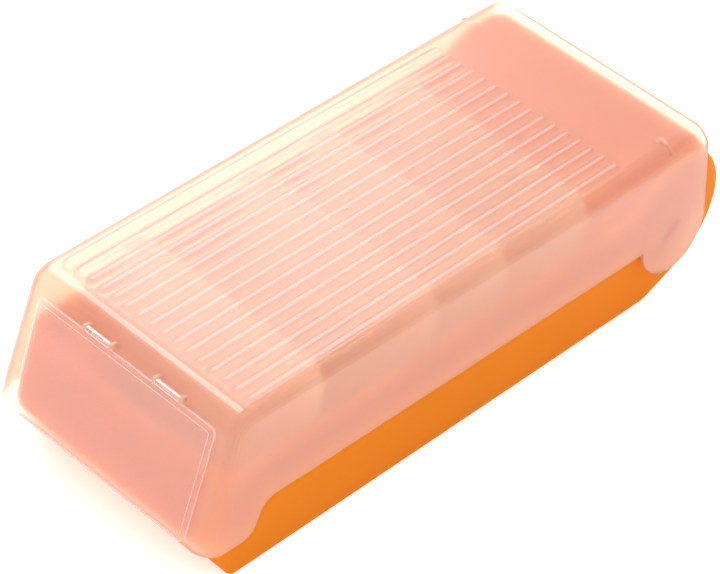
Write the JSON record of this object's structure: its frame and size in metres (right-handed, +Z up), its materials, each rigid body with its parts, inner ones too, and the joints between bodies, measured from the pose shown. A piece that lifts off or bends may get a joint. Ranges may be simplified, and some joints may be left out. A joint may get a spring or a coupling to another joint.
{
  "type": "card index box",
  "caption": "Long box for small index cards: open tray, rear-hinged frosted lid with a flip-up label window, and tilting dividers.",
  "frame": {"origin": "middle of the footprint, on the table", "axes": "+Z up; +Y to the rear, where the lid is hinged; the label window faces -Y; +X to the right-hand side seen from the rear, left to right seen from the front"},
  "size_m": [0.1034, 0.2446, 0.0698],
  "materials": {
    "tray": "opaque orange polypropylene, satin",
    "lid": "frosted translucent polypropylene",
    "label_window": "clear glossy polystyrene",
    "divider": "frosted pale polypropylene"
  },
  "bodies": {
    "tray": {"tray": "tray"},
    "lid": {"lid": "lid"},
    "label_window": {"label_window": "label_window"},
    "divider_1": {"divider_1": "divider"},
    "divider_2": {"divider_2": "divider"},
    "divider_3": {"divider_3": "divider"},
    "divider_4": {"divider_4": "divider"}
  },
  "joints": [
    {"name": "lid_hinge", "type": "hinge", "parent": "tray", "child": "lid", "pos_m": [0, 0.09375, 0.0326], "axis": [-1, 0, 0], "range_deg": [0, 110]},
    {"name": "window_hinge", "type": "hinge", "parent": "lid", "child": "label_window", "pos_m": [0, -0.11218, 0.06408], "axis": [-1, 0, 0], "range_deg": [0, 110]},
    {"name": "divider_1_tilt", "type": "hinge", "parent": "tray", "child": "divider_1", "pos_m": [0, -0.07535, 0.00345], "axis": [-1, 0, 0], "range_deg": [-8, 14]},
    {"name": "divider_2_tilt", "type": "hinge", "parent": "tray", "child": "divider_2", "pos_m": [0, -0.02428, 0.00345], "axis": [-1, 0, 0], "range_deg": [-8, 14]},
    {"name": "divider_3_tilt", "type": "hinge", "parent": "tray", "child": "divider_3", "pos_m": [0, 0.00768, 0.00345], "axis": [-1, 0, 0], "range_deg": [-8, 14]},
    {"name": "divider_4_tilt", "type": "hinge", "parent": "tray", "child": "divider_4", "pos_m": [0, 0.04674, 0.00345], "axis": [-1, 0, 0], "range_deg": [-8, 14]}
  ]
}
